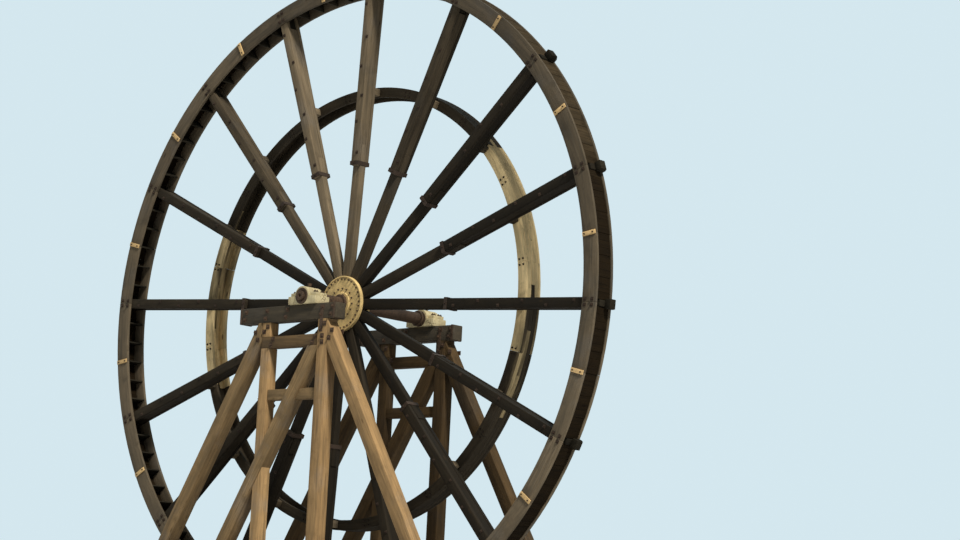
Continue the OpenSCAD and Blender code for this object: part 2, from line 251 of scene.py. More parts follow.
class Finish(Tree):
    """A material on a Principled shader."""

    def __init__(self, name):
        self.material = bpy.data.materials.new(name)
        self.material.use_nodes = True
        super().__init__(self.material.node_tree)
        self.shader = self.nodes["Principled BSDF"]

    def blend(self, a, b, factor, how="MIX"):
        """Mixes colour b into colour a."""
        made = self.nodes.new("ShaderNodeMix")
        made.data_type, made.blend_type = "RGBA", how
        self.feed(made.inputs[0], factor)
        self.feed(made.inputs[6], a)
        self.feed(made.inputs[7], b)
        return Sock(self, made.outputs[2])

    def stretch(self, vector, x, y, z):
        return self.node("ShaderNodeVectorMath", {"operation": "MULTIPLY"}, vector, (x, y, z))

    def noise(self, vector, scale, detail=4.0, rough=0.55, twist=0.0):
        return self.node("ShaderNodeTexNoise", {}, **{
            "Vector": vector, "Scale": scale, "Detail": detail, "Roughness": rough, "Distortion": twist})

    def place(self):
        """The place on the object, by its own coordinates."""
        return self.node("ShaderNodeTexCoord", {}, out=3)

    def mark(self, name, out=1):
        """An attribute that the mesh carries."""
        return self.node(
            "ShaderNodeAttribute", {"attribute_name": name, "attribute_type": "GEOMETRY"}, out=out)

    def done(self, colour, roughness, height=None, depth=0.002, metallic=0.0, specular=0.4):
        """Feeds the shader, with a bump where a height is given, and hands over the material."""
        self.feed(self.shader.inputs["Base Color"], colour)
        self.feed(self.shader.inputs["Roughness"], roughness)
        self.feed(self.shader.inputs["Metallic"], metallic)
        self.shader.inputs["Specular IOR Level"].default_value = specular
        if height is not None:
            bump = self.node("ShaderNodeBump", {}, **{"Height": height, "Strength": 0.8, "Distance": depth})
            self.feed(self.shader.inputs["Normal"], bump)
        return self.material


def tint(colour, k, warm=0.0):
    """A colour made k times as bright, and warmer by a share taken from its blue and given to its red."""
    return tuple(max(0.0, min(1.0, c * k * (1 + w * warm))) for c, w in zip(colour, (1, 0, -1)))


def timber(name, colour, grey=0.3, stain=0.35, spread=0.35, checks=0.5, paler_colour=None, sheen=0.25):
    """Weathered sawn timber. Its grain runs along each piece's own grain attribute. Its tone attribute lifts
    or lowers the colour by spread, or, where a paler colour is given, turns the old one into it; on the
    spokes, the rim's side planks and the sole that tone is painted light and shade."""
    f = Finish(name)
    grain, tone, here = f.mark("grain"), f.mark("tone", out=2), f.place()
    # fine fibre, streaks and a slow sweep, all drawn out along the grain
    fibre = f.noise(f.stretch(grain, 1, 1, 0.022), 85, 5, 0.6)
    streak = f.noise(f.stretch(grain, 1, 1, 0.07), 13, 4, 0.6, 0.3)
    sweep = f.noise(f.stretch(grain, 1, 1, 0.16), 4.2, 3, 0.5, 0.4)
    blotch = f.noise(here, 0.9, 4, 0.6)
    rings = f.node("ShaderNodeTexWave", {"wave_type": "RINGS", "rings_direction": "Z"}, out=1, **{
        "Vector": f.stretch(grain, 1, 1, 0.03), "Scale": 16,
        "Distortion": 3.5, "Detail": 2.0, "Detail Scale": 1.2})
    broad = (streak * 0.55 + sweep * 0.45).band(0.30, 0.70)
    figure = f.blend((0.60, 0.60, 0.60), (1.38, 1.32, 1.25), broad)
    figure = f.blend(figure, (0.80, 0.70, 0.60), rings.band(0.55, 0.95) * 0.35)
    figure = f.blend(figure, (0.42, 0.42, 0.42), (0.5 - fibre).band(0.02, 0.22) * 0.6)
    # the colour gone grey in places and, where the tone asks, turned to the paler colour, which on the sole
    # is painted light; the figure goes over it
    pale = sum(colour) / 3 * 1.25
    base = f.blend(colour, (pale * 1.02, pale, pale * 0.95), blotch.band(0.50, 0.68) * grey)
    if paler_colour is not None:
        base = f.blend(base, paler_colour, (tone + (sweep - 0.5) * 0.3).band(0.30, 0.62))
    body = f.blend(base, figure, 1.0, "MULTIPLY")
    dirt = (f.noise(here, 2.3, 5, 0.65) + streak * 0.4).band(0.72, 0.95)
    body = f.blend(body, tint(colour, 0.30), dirt * stain)
    # the tone lifts or lowers the colour: a random tone on most pieces, painted light and shade on the
    # spokes and the rim's side planks
    if paler_colour is None:
        lift = tone * (2 * spread) + (1 - spread)
        shade = f.node("ShaderNodeCombineColor", {}, lift, lift, lift)
        body = f.blend(body, shade, 1.0, "MULTIPLY")
    # drying checks and knots
    crack = (f.noise(f.stretch(grain, 1, 1, 0.012), 22, 2, 0.5) - 0.5).math("ABSOLUTE")
    crack = (1 - crack.band(0.0, 0.014)) * (blotch + sweep).band(0.92, 1.12)
    body = f.blend(body, tint(colour, 0.12), crack * checks)
    knots = f.node("ShaderNodeTexVoronoi", {"feature": "F1"}, **{
        "Vector": f.stretch(grain, 1, 1, 0.35), "Scale": 2.1})
    knot = 1 - knots.band(0.035, 0.085)
    body = f.blend(body, tint(colour, 0.25, 0.2), knot * 0.7)
    height = fibre * 0.5 + streak * 0.4 - crack * 1.6 + knot * 0.3
    return f.done(body, 0.74 + streak * 0.22, height, 0.004, specular=sheen)


def rusted(name, colour, dust=(0.20, 0.12, 0.06), amount=0.5, metallic=0.35):
    """Old iron under rust and dust."""
    f = Finish(name)
    here = f.place()
    broad = f.noise(here, 2.6, 5, 0.6)
    scale = f.noise(here, 34, 6, 0.68)
    pits = f.node("ShaderNodeTexVoronoi", {}, **{"Vector": here, "Scale": 60})
    body = f.blend(tint(colour, 0.6), tint(colour, 1.35), (broad * 0.5 + scale * 0.5).band(0.34, 0.66))
    body = f.blend(body, dust, scale.band(0.48, 0.68) * amount)
    body = f.blend(body, tint(colour, 0.3), (1 - pits.band(0.05, 0.3)) * 0.5)
    height = scale - (1 - pits.band(0.0, 0.25)) * 0.4
    return f.done(body, 0.62 + scale * 0.3, height, metallic=metallic)


def chalky(name, colour, chip=(0.10, 0.055, 0.030)):
    """Old paint that has gone chalky, with rust showing through."""
    f = Finish(name)
    here = f.place()
    broad = f.noise(here, 3.1, 4, 0.6)
    fine = f.noise(here, 26, 6, 0.65)
    run = f.noise(f.stretch(here, 1, 1, 0.12), 14, 4, 0.6)
    body = f.blend(tint(colour, 0.74), tint(colour, 1.12), broad.band(0.35, 0.65))
    body = f.blend(body, tint(colour, 0.55, 0.25), run.band(0.52, 0.72) * 0.6)
    bare = (fine * 0.6 + broad * 0.5).band(0.60, 0.68)
    body = f.blend(body, chip, bare * 0.85)
    return f.done(body, 0.66 + fine * 0.25, fine * 0.5 - bare * 0.6)


FINISHES = {}


def finish_of(name):
    """Makes a finish when a piece first asks for it, and hands out the same one after that."""
    if name not in FINISHES:
        c = colours()
        makers = {
            # the spokes' tone spreads wide to carry painted light and shade by angle
            "spoke": lambda: timber("spoke_timber_painted_light", c.spoke, 0.25, 0.35, 0.84, sheen=0.12),
            # the rim's side planks carry painted shade by angle through their tone
            "rim": lambda: timber("rim_timber_painted_shade", c.rim, 0.30, 0.45, 0.48),
            "wet": lambda: timber("stained_timber", tint(c.wet, 0.6), 0.10, 0.40, 0.35, 0.3, sheen=0.08),
            # the sole's paler colour is painted light where it faces the sun
            "sole": lambda: timber(
                "sole_timber_painted_light", tint(c.wet, 0.30, 0.30), 0.04, 0.50, checks=0.3,
                paler_colour=tint(c.wet, 1.25, 0.15), sheen=0.05),
            "ring": lambda: timber(
                "ring_timber", tint(c.rim, 0.40), 0.20, 0.40, checks=0.25,
                paler_colour=tint(c.pale, 1.45), sheen=0.12),
            "pale": lambda: timber("pale_timber", tint(c.pale, 1.05, 0.14), 0.05, 0.25, 0.20, 0.4),
            "warm": lambda: timber("trestle_timber", c.warm, 0.22, 0.30, 0.22, 0.6),
            "bare": lambda: timber("bare_timber", tint(c.warm, 0.62, -0.05), 0.30, 0.40, 0.25, 0.7),
            "brown": lambda: timber("tie_timber", tint(c.warm, 0.36), 0.20, 0.40, 0.25, 0.6),
            # the rear trestle's darker copy of the trestle timber is painted shade
            "shade": lambda: timber("rear_timber_painted_shade", tint(c.warm, 0.24), 0.25, 0.45, 0.30, 0.6, sheen=0.12),
            "beam": lambda: timber("beam_timber", c.beam, 0.35, 0.45, 0.30, 0.6),
            "sill": lambda: timber("sill_timber", tint(c.beam, 1.35), 0.40, 0.55, 0.30, 0.7),
            "rust": lambda: rusted("rusted_iron", c.rust),
            "iron": lambda: rusted("dark_iron", tint(c.rust, 0.55), (0.085, 0.052, 0.028), 0.3),
            "ochre": lambda: rusted("hub_iron", c.ochre, tint(c.ochre, 0.60, 0.2), 0.4, metallic=0.0),
            "cream": lambda: chalky("bearing_paint", c.cream),
        }
        FINISHES[name] = makers[name]()
    return FINISHES[name]


# mesh helpers

def keep(bm, name, body, finish, stands_for=(), smooth=0.0):
    """Makes the finished object of a bmesh, at the origin, riding on its body. smooth is the angle in
    degrees above which an edge stays sharp."""
    mesh = bpy.data.meshes.new(name)
    bm.to_mesh(mesh)
    bm.free()
    if smooth:
        mesh.shade_smooth()
        mesh.set_sharp_from_angle(angle=math.radians(smooth))
    piece = bpy.data.objects.new(name, mesh)
    bpy.context.scene.collection.objects.link(piece)
    mesh.materials.append(finish_of(finish))
    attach(piece, body)
    if stands_for:
        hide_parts(*stands_for)
    return piece


def loose_parts(bm):
    """The bmesh's separate solids, as lists of vertices."""
    seen, parts = set(), []
    for start in bm.verts:
        if start in seen:
            continue
        seen.add(start)
        queue, part = [start], []
        while queue:
            v = queue.pop()
            part.append(v)
            for e in v.link_edges:
                o = e.other_vert(v)
                if o not in seen:
                    seen.add(o)
                    queue.append(o)
        parts.append(part)
    return parts


def lay_grain(bm, seed, along=None, lean=None):
    """Writes each solid's own grain place and its shade of colour. The grain runs along its longest edge,
    along a direction, or "round" the axle. lean gives the shade by place, which on the spokes, the rim's
    side planks and the sole is painted light and shade."""
    grain = bm.verts.layers.float_vector.new("grain")
    tone = bm.verts.layers.float.new("tone")
    rnd = random.Random(seed)
    for part in loose_parts(bm):
        # in a fixed order, so that edges of one length always give the same grain
        edges = dict.fromkeys(e for v in part for e in v.link_edges)
        longest = max(edges, key=lambda e: e.calc_length())
        middle = sum((v.co for v in part), Vector()) / len(part)
        if along == "round":
            d = Vector((middle.z - HUB_Z, 0, -middle.x)).normalized()
        elif along is None:
            d = (longest.verts[1].co - longest.verts[0].co).normalized()
        else:
            d = Vector(along)
        side = d.cross(Vector((0, 1, 0)) if abs(d.y) < 0.9 else Vector((1, 0, 0))).normalized()
        other = d.cross(side)
        off = Vector((rnd.uniform(-9, 9), rnd.uniform(-9, 9), rnd.uniform(-40, 40)))
        if lean is None:
            shade = rnd.random()
        else:
            shade = min(1.0, max(0.0, lean(middle) + rnd.uniform(-0.1, 0.1)))
        for v in part:
            q = v.co - middle
            v[grain] = Vector((q.dot(side), q.dot(other), q.dot(d))) + off
            v[tone] = shade


def ease(bm, angle, width, segments):
    """Bevels every edge that turns by more than an angle in radians."""
    edges = [e for e in bm.edges if len(e.link_faces) == 2 and e.calc_face_angle(0) > angle]
    bmesh.ops.bevel(
        bm, geom=edges, offset=width, offset_type="OFFSET", affect="EDGES", segments=segments,
        profile=0.5, material=-1, clamp_overlap=True)


def wear(bm, width, segments=2):
    """Rounds every edge of sawn timbers by a worn width."""
    ease(bm, 0.05, width, segments)


def copied(*names):
    """A bmesh of CAD nodes, merged, with its flat faces made whole."""
    bm = bmesh.new()
    for n in names:
        bm.from_mesh(NODES[n].data)
    bmesh.ops.remove_doubles(bm, verts=bm.verts, dist=1e-5)
    bmesh.ops.dissolve_limit(bm, angle_limit=math.radians(0.5), verts=bm.verts, edges=bm.edges)
    return bm


def sawn(names, piece, body, finish, width=None, seed=1, lean=None):
    """CAD timbers with worn edges and their own grain."""
    bm = copied(*names)
    wear(bm, width or sizes().arris)
    lay_grain(bm, seed, lean=lean)
    return keep(bm, piece, body, finish, names, smooth=50)


def block(bm, centre, size, turn=None):
    """A box in a bmesh, sized, turned about its own middle and put in its place."""
    made = bmesh.ops.create_cube(bm, size=1.0)["verts"]
    bmesh.ops.scale(bm, vec=Vector(size), verts=made)
    if turn is not None:
        bmesh.ops.rotate(bm, cent=(0, 0, 0), matrix=turn, verts=made)
    bmesh.ops.translate(bm, vec=Vector(centre), verts=made)
    return made


def cone(bm, sides, foot, top, depth):
    """An upright prism about the origin, with the radii of its foot and its top."""
    return bmesh.ops.create_cone(
        bm, cap_ends=True, cap_tris=False, segments=sides, radius1=foot, radius2=top, depth=depth)["verts"]


def rod(bm, a, b, radius, sides):
    """A round bar between two points."""
    a, b = Vector(a), Vector(b)
    d = b - a
    made = cone(bm, sides, radius, radius, d.length)
    bmesh.ops.rotate(bm, cent=(0, 0, 0), matrix=d.to_track_quat("Z", "Y").to_matrix(), verts=made)
    bmesh.ops.translate(bm, vec=(a + b) / 2, verts=made)
    return made


def bolt(bm, at, out, kind=None, turn=0.0):
    """A square plate washer with a nut and the bolt's tip on it. out points away from the timber. A bolt
    of no kind has the size that the user sets."""
    wide, across = BOLT_SIZES[kind] if kind else (sizes().washer, sizes().bolt)
    h = across / 2
    top = PLATE_T - PLATE_SUNK
    made = block(bm, (0, 0, PLATE_T / 2 - PLATE_SUNK), (wide, wide, PLATE_T))
    nut = cone(bm, 6, h * 1.15, h * 1.08, h * 1.1)
    bmesh.ops.translate(bm, vec=(0, 0, top + h * 0.55), verts=nut)
    tip = cone(bm, 8, h * 0.55, h * 0.48, TIP)
    bmesh.ops.translate(bm, vec=(0, 0, top + h * 1.1 + 0.009), verts=tip)
    made = made + nut + tip
    way = Vector(out).normalized().to_track_quat("Z", "Y").to_matrix()
    bmesh.ops.rotate(bm, cent=(0, 0, 0), matrix=Matrix.Rotation(turn, 3, "Z"), verts=made)
    bmesh.ops.rotate(bm, cent=(0, 0, 0), matrix=way, verts=made)
    bmesh.ops.translate(bm, vec=Vector(at), verts=made)
    return made


# places and shapes round the axle

def radial(angle):
    """Unit vector out from the axle at an angle clockwise from the top, seen from the front."""
    return Vector((math.sin(angle), 0, math.cos(angle)))


def on_wheel(radius, angle, y):
    return radial(angle) * radius + Vector((0, y, HUB_Z))


def round_angle(middle, top):
    """Degrees round the axle from an angle clockwise of the top, between -180 and 180."""
    return (math.degrees(math.atan2(middle.x, middle.z - HUB_Z)) - top + 180) % 360 - 180


def in_spans(middle, spans):
    """The value of the span of angles, clockwise from the top, that a place on the wheel lies in."""
    angle = round_angle(middle, 0)
    return next((value for first, last, value in spans if first <= angle < last), 0.0)


def spoke_painted_light(middle):
    """The spokes' tone by angle round the axle: painted light on the upper left spokes and painted shade on
    the rest.
    """
    return math.exp(-(round_angle(middle, -13) / 28) ** 2)


def sole_painted_light(middle):
    """The sole's boards turn a lighter rusty brown on the wheel's upper right side, where they face the sun:
    painted light.
    """
    return max(0.0, 1 - (round_angle(middle, 46) / 31) ** 2)


def ring_paler_spans(middle):
    """The inner ring is paler down its right side and low on its left."""
    return in_spans(middle, ((44, 93, 1.0), (93, 116, 0.37), (-109, -87, 0.68), (-87, -64, 0.38)))


def rim_painted_shade(middle):
    """The rim's side planks get painted shade, darkest at the top and the right, and are palest at the lower
    right.
    """
    return in_spans(middle, (
        (-180, -30, 0.55), (-30, 58, 0.30), (58, 93, 0.38),
        (93, 104, 0.55), (104, 140, 0.95), (140, 181, 0.6)))


def face_out(bm):
    bmesh.ops.recalc_face_normals(bm, faces=bm.faces)


def turn_about_axle(bm, geom, angle, steps, **how):
    """Spins geometry about the axle."""
    bmesh.ops.spin(
        bm, geom=geom, cent=(0, 0, HUB_Z), axis=(0, 1, 0), dvec=(0, 0, 0), angle=angle, steps=steps,
        space=Matrix.Identity(4), **how)


def spread_round(bm):
    """Repeats all that is in the bmesh round the axle, once a bay."""
    turn_about_axle(
        bm, bm.verts[:] + bm.edges[:] + bm.faces[:], -math.tau * (SPOKES - 1) / SPOKES, SPOKES - 1,
        use_duplicate=True)


def on_to_spoke(bm):
    """Turns what was built upright above the axle on to the first spoke."""
    bmesh.ops.rotate(bm, cent=(0, 0, HUB_Z), matrix=Matrix.Rotation(PHASE, 3, "Y"), verts=bm.verts)


def spun(bm, profile, y0=0.0, steps=96):
    """Spins a closed outline of (radius, y) about the axle."""
    verts = [bm.verts.new((r, y0 + y, HUB_Z)) for r, y in profile]
    edges = [bm.edges.new((verts[i], verts[(i + 1) % len(verts)])) for i in range(len(verts))]
    turn_about_axle(bm, verts + edges, math.tau, steps, use_merge=True)
    face_out(bm)


def collar(bm, y, out, radius, wide, ease_r, ease_y):
    """A ring on the shaft, wide from y in the direction of out, with its two outer edges eased."""
    spun(bm, [
        (BORE_R, y), (radius - ease_r, y), (radius, y + out * ease_y), (radius, y + out * (wide - ease_y)),
        (radius - ease_r, y + out * wide), (BORE_R, y + out * wide)])


def weld(bm):
    """Merges the doubles of what was spun, and turns its faces out."""
    bmesh.ops.remove_doubles(bm, verts=bm.verts, dist=1e-6)
    face_out(bm)


def bent_planks(bm, r0, r1, rows, gap, steps=5):
    """Planks sawn to the curve, two to a bay. Each row has its y limits and the share of a plank by which
    its joints lie past the spokes."""
    half = BAY / 2
    for j in range(2):
        for y0, y1, past in rows:
            a0, a1 = PHASE + half * (j + past) + gap, PHASE + half * (j + past + 1) - gap
            verts = [bm.verts.new(on_wheel(r, a0, y)) for r, y in ((r0, y0), (r1, y0), (r1, y1), (r0, y1))]
            face = bm.faces.new(verts)
            turn_about_axle(bm, [face, *face.edges, *verts], a1 - a0, steps)
    spread_round(bm)
    face_out(bm)


def side_planks(node, piece, r0, r1, finish, seed, lean):
    """A ring's side planks, with a joint at each spoke and mid-bay."""
    lo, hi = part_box(node)
    bm = bmesh.new()
    bent_planks(bm, r0, r1, ((lo.y, hi.y, 0),), 0.0025 / r1)
    wear(bm, sizes().board_arris)
    lay_grain(bm, seed, "round", lean)
    return keep(bm, piece, "wheel", finish, (node,), smooth=50)


def cheek_face(side, radius, inner=False):
    """y of a cheek's outer or inner face at a radius, from the spoke's plane to the shroud."""
    inside = BACK_LO.y - RIM_Y
    middle = SPOKE_Y - RIM_Y
    if inner:
        start, end, far = middle + side * SPOKE_T / 2, side * (inside - CHEEK_T), CHEEK_R1
    else:
        start, end, far = middle + side * (SPOKE_T / 2 + CHEEK_T), side * inside, CHEEK_R2
    return RIM_Y + start + (end - start) * (radius - CHEEK_R0) / (far - CHEEK_R0)


def heel_face(side, radius):
    """y of a cheek's outer face as it is dressed, thinner at its heel."""
    k = min(1.0, (radius - CHEEK_R0) / HEEL)
    thin = cheek_face(side, CHEEK_R0, True) + side * TOE
    return thin + (cheek_face(side, CHEEK_R0 + HEEL) - thin) * k if k < 1 else cheek_face(side, radius)


def along_spoke(bm, outline, width):
    """A timber along the first spoke: an outline of (radius, y), made width wide in the wheel's plane."""
    face = bm.faces.new([bm.verts.new((-width / 2, y, HUB_Z + r)) for r, y in outline])
    grown = bmesh.ops.extrude_face_region(bm, geom=[face])["geom"]
    far = [v for v in grown if isinstance(v, bmesh.types.BMVert)]
    bmesh.ops.translate(bm, vec=(width, 0, 0), verts=far)
    on_to_spoke(bm)


# the wheel

class WHEEL_OT_spokes(bpy.types.Operator):
    """Dresses the spokes, their forked cheeks, tenons and heads"""
    bl_idname = "wheel.spokes"
    bl_label = "Spokes"

    def execute(self, context):
        for n, seed in (("spokes_odd", 11), ("spokes_even", 12)):
            sawn([n], n.replace("_", "_timber_"), "wheel", "spoke", seed=seed, lean=spoke_painted_light)
        # each cheek starts at a heel with a broken corner on the spoke's face
        for side, end, seed in ((-1, "front", 13), (1, "rear", 14)):
            shroud = RIM_Y + side * (BACK_LO.y - RIM_Y)
            bm = bmesh.new()
            along_spoke(bm, (
                (CHEEK_R0, cheek_face(side, CHEEK_R0, True)), (CHEEK_R1, cheek_face(side, CHEEK_R1, True)),
                (CHEEK_R1, shroud), (CHEEK_R2, shroud),
                (CHEEK_R0 + HEEL, cheek_face(side, CHEEK_R0 + HEEL)),
                (CHEEK_R0, cheek_face(side, CHEEK_R0, True) + side * TOE)), CHEEK_W)
            spread_round(bm)
            face_out(bm)
            wear(bm, sizes().arris)
            lay_grain(bm, seed, lean=spoke_painted_light)
            keep(bm, f"cheek_timbers_{end}", "wheel", "spoke", (f"cheeks_{end}",), smooth=50)
        # packing boards close each fork between its cheeks, a little narrower than they are
        bm = bmesh.new()
        gap, narrower = 0.001, 0.036
        r0, r1 = SPOKE_R1 + gap, TENON_R0 - gap
        along_spoke(bm, (
            (r0, cheek_face(-1, SPOKE_R1, True) + gap), (r1, cheek_face(-1, TENON_R0, True) + gap),
            (r1, cheek_face(1, TENON_R0, True) - gap), (r0, cheek_face(1, SPOKE_R1, True) - gap)),
            CHEEK_W - narrower)
        spread_round(bm)
        face_out(bm)
        lay_grain(bm, 18, lean=spoke_painted_light)
        keep(bm, "fork_packing", "wheel", "spoke")
        sawn(["spoke_tenons"], "tenon_blocks", "wheel", "wet", seed=15)
        sawn(["spoke_heads"], "head_blocks", "wheel", "wet", seed=16)
        sawn(["ring_chocks"], "chock_blocks", "wheel", "spoke", seed=17)
        return {"FINISHED"}


class WHEEL_OT_rim(bpy.types.Operator):
    """Dresses the bucket rim: side planks, cleats, bucket boards and the cross boards of the sole"""
    bl_idname = "wheel.rim"
    bl_label = "Bucket rim"

    def execute(self, context):
        s = sizes()
        side_planks("shroud_front", "side_planks_front", RIM_IN, RIM_R, "rim", 21, rim_painted_shade)
        side_planks("shroud_rear", "side_planks_rear", RIM_IN, RIM_R, "rim", 22, rim_painted_shade)
        sawn(["bucket_boards"], "bucket_partitions", "wheel", "wet", s.board_arris, 23)
        sawn(["joint_cleats"], "joint_battens", "wheel", "pale", s.board_arris, 24)
        # cross boards of the sole, cut round the tenons, each a little thicker or thinner than the next
        bm = bmesh.new()
        half = BAY / 2
        at_tenon, at_joint = math.asin(TENON_HALF / SOLE_MID), 0.0003
        gap, step_out = 0.0015, 0.004
        width = BACK_LO.y - SHROUD_HI.y - 0.004
        for j in range(2):
            a0 = PHASE + half * j + (at_tenon if j == 0 else at_joint)
            a1 = PHASE + half * (j + 1) - (at_tenon if j == 1 else at_joint)
            step = (a1 - a0) / s.sole_boards
            flat = PHASE + half * (j + 0.5)
            for i in range(s.sole_boards):
                a = a0 + step * (i + 0.5)
                inner = SOLE_IN * math.cos(half / 2) / math.cos(a - flat) + 0.001
                outer = SOLE_OUT + step_out * ((i * 7) % 3)
                size = (2 * SOLE_MID * math.tan(step / 2) - gap, width, outer - inner)
                block(bm, on_wheel((inner + outer) / 2, a, RIM_Y), size, Matrix.Rotation(a, 3, "Y"))
        spread_round(bm)
        wear(bm, s.board_arris, 1)
        lay_grain(bm, 25, (0, 1, 0), sole_painted_light)
        keep(bm, "sole_boards", "wheel", "sole", ("sole",))
        return {"FINISHED"}


class WHEEL_OT_inner_ring(bpy.types.Operator):
    """Dresses the inner ring: side planks and the boards round its outside"""
    bl_idname = "wheel.inner_ring"
    bl_label = "Inner ring"

    def execute(self, context):
        s = sizes()
        side_planks("ring_front", "ring_planks_front", RING_IN, RING_R, "ring", 31, ring_paler_spans)
        side_planks("ring_rear", "ring_planks_rear", RING_IN, RING_R, "ring", 32, ring_paler_spans)
        # boards laid round the ring's outside, side by side, with broken joints
        gap = 0.001
        y0, y1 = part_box("ring_front")[1].y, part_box("ring_rear")[0].y
        step = (y1 - y0) / s.lag_boards
        rows = []
        for i in range(s.lag_boards):
            rows.append((y0 + step * i + gap, y0 + step * (i + 1) - gap, 0.5 * (i % 2)))
        bm = bmesh.new()
        bent_planks(bm, LAG_IN, LAG_OUT, rows, gap / RING_R)
        wear(bm, s.board_arris, 1)
        lay_grain(bm, 33, "round", ring_paler_spans)
        keep(bm, "ring_boards", "wheel", "ring", ("ring_lagging",))
        return {"FINISHED"}


class WHEEL_OT_hub(bpy.types.Operator):
    """Builds the hub's two flanged discs with their bolts, and gives the core its finish"""
    bl_idname = "wheel.hub"
    bl_label = "Hub"

    def execute(self, context):
        # a raised lip at the edge and a boss at the shaft, with a sunk plate between them
        edge, lip, boss, slope = 0.012, 0.032, 0.290, 0.015
        plate = DISC_T - 0.018
        outline = (
            (BORE_R, 0), (DISC_R, 0), (DISC_R, DISC_T - edge), (DISC_R - edge, DISC_T),
            (DISC_R - lip, DISC_T), (DISC_R - lip - edge, plate), (boss + slope, plate), (boss, DISC_T),
            (BORE_R, DISC_T))
        for end, face, out in DISC_FACES:
            back = face - out * DISC_T
            bm = bmesh.new()
            spun(bm, [(r, out * y) for r, y in outline], back)
            keep(bm, f"hub_flange_{end}", "wheel", "ochre", (f"hub_disc_{end}",), smooth=35)
            # bolts into each spoke: a pair near the edge and one near the boss
            bm = bmesh.new()
            for r, turn in DISC_BOLTS:
                bolt(bm, on_wheel(r, PHASE + turn, back + out * plate), (0, out, 0), "disc", PHASE)
            spread_round(bm)
            keep(bm, f"hub_bolts_{end}", "wheel", "rust")
        NODES["hub_core"].data.materials.clear()
        NODES["hub_core"].data.materials.append(finish_of("rust"))
        return {"FINISHED"}


class WHEEL_OT_shaft(bpy.types.Operator):
    """Builds the shaft with its shoulders, collars and end centres"""
    bl_idname = "wheel.shaft"
    bl_label = "Shaft"

    def execute(self, context):
        lo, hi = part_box("shaft")
        edge, off_bearing = 0.012, 0.01
        big, small = SHAFT_R, JOURNAL_R
        # the shoulders stand just off the bearings, and each end has a turned centre
        y1 = -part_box("bearing_base_front")[1].y - off_bearing
        y0 = -y1
        centre_r, centre_in, centre_deep = 0.05, 0.03, 0.035
        bm = bmesh.new()
        spun(bm, [
            (centre_in, lo.y + centre_deep), (centre_r, lo.y), (small - edge, lo.y), (small, lo.y + edge),
            (small, y0), (big - edge, y0), (big, y0 + edge), (big, y1 - edge), (big - edge, y1), (small, y1),
            (small, hi.y - edge), (small - edge, hi.y), (centre_r, hi.y), (centre_in, hi.y - centre_deep)])
        keep(bm, "turned_shaft", "wheel", "rust", ("shaft",), smooth=35)
        # a collar outside each disc and one near each shoulder
        bm = bmesh.new()
        for end, face, out in DISC_FACES:
            collar(bm, face + out * 0.002, out, 0.235, 0.083, 0.010, 0.010)
        for y, out in ((y0 + 0.05, 1), (y1 - 0.05, -1)):
            collar(bm, y, out, 0.212, 0.07, 0.007, 0.008)
        weld(bm)
        keep(bm, "shaft_collars", "wheel", "rust", smooth=35)
        # four screws round each disc's collar
        bm = bmesh.new()
        for end, face, out in DISC_FACES:
            for k in range(4):
                a = PHASE + math.pi / 2 * k + 0.4
                at = on_wheel(0.243, a, face + out * 0.044)
                block(bm, at, (0.05, 0.032, 0.03), Matrix.Rotation(a, 3, "Y"))
        wear(bm, 0.004, 1)
        keep(bm, "collar_screws", "wheel", "rust")
        return {"FINISHED"}


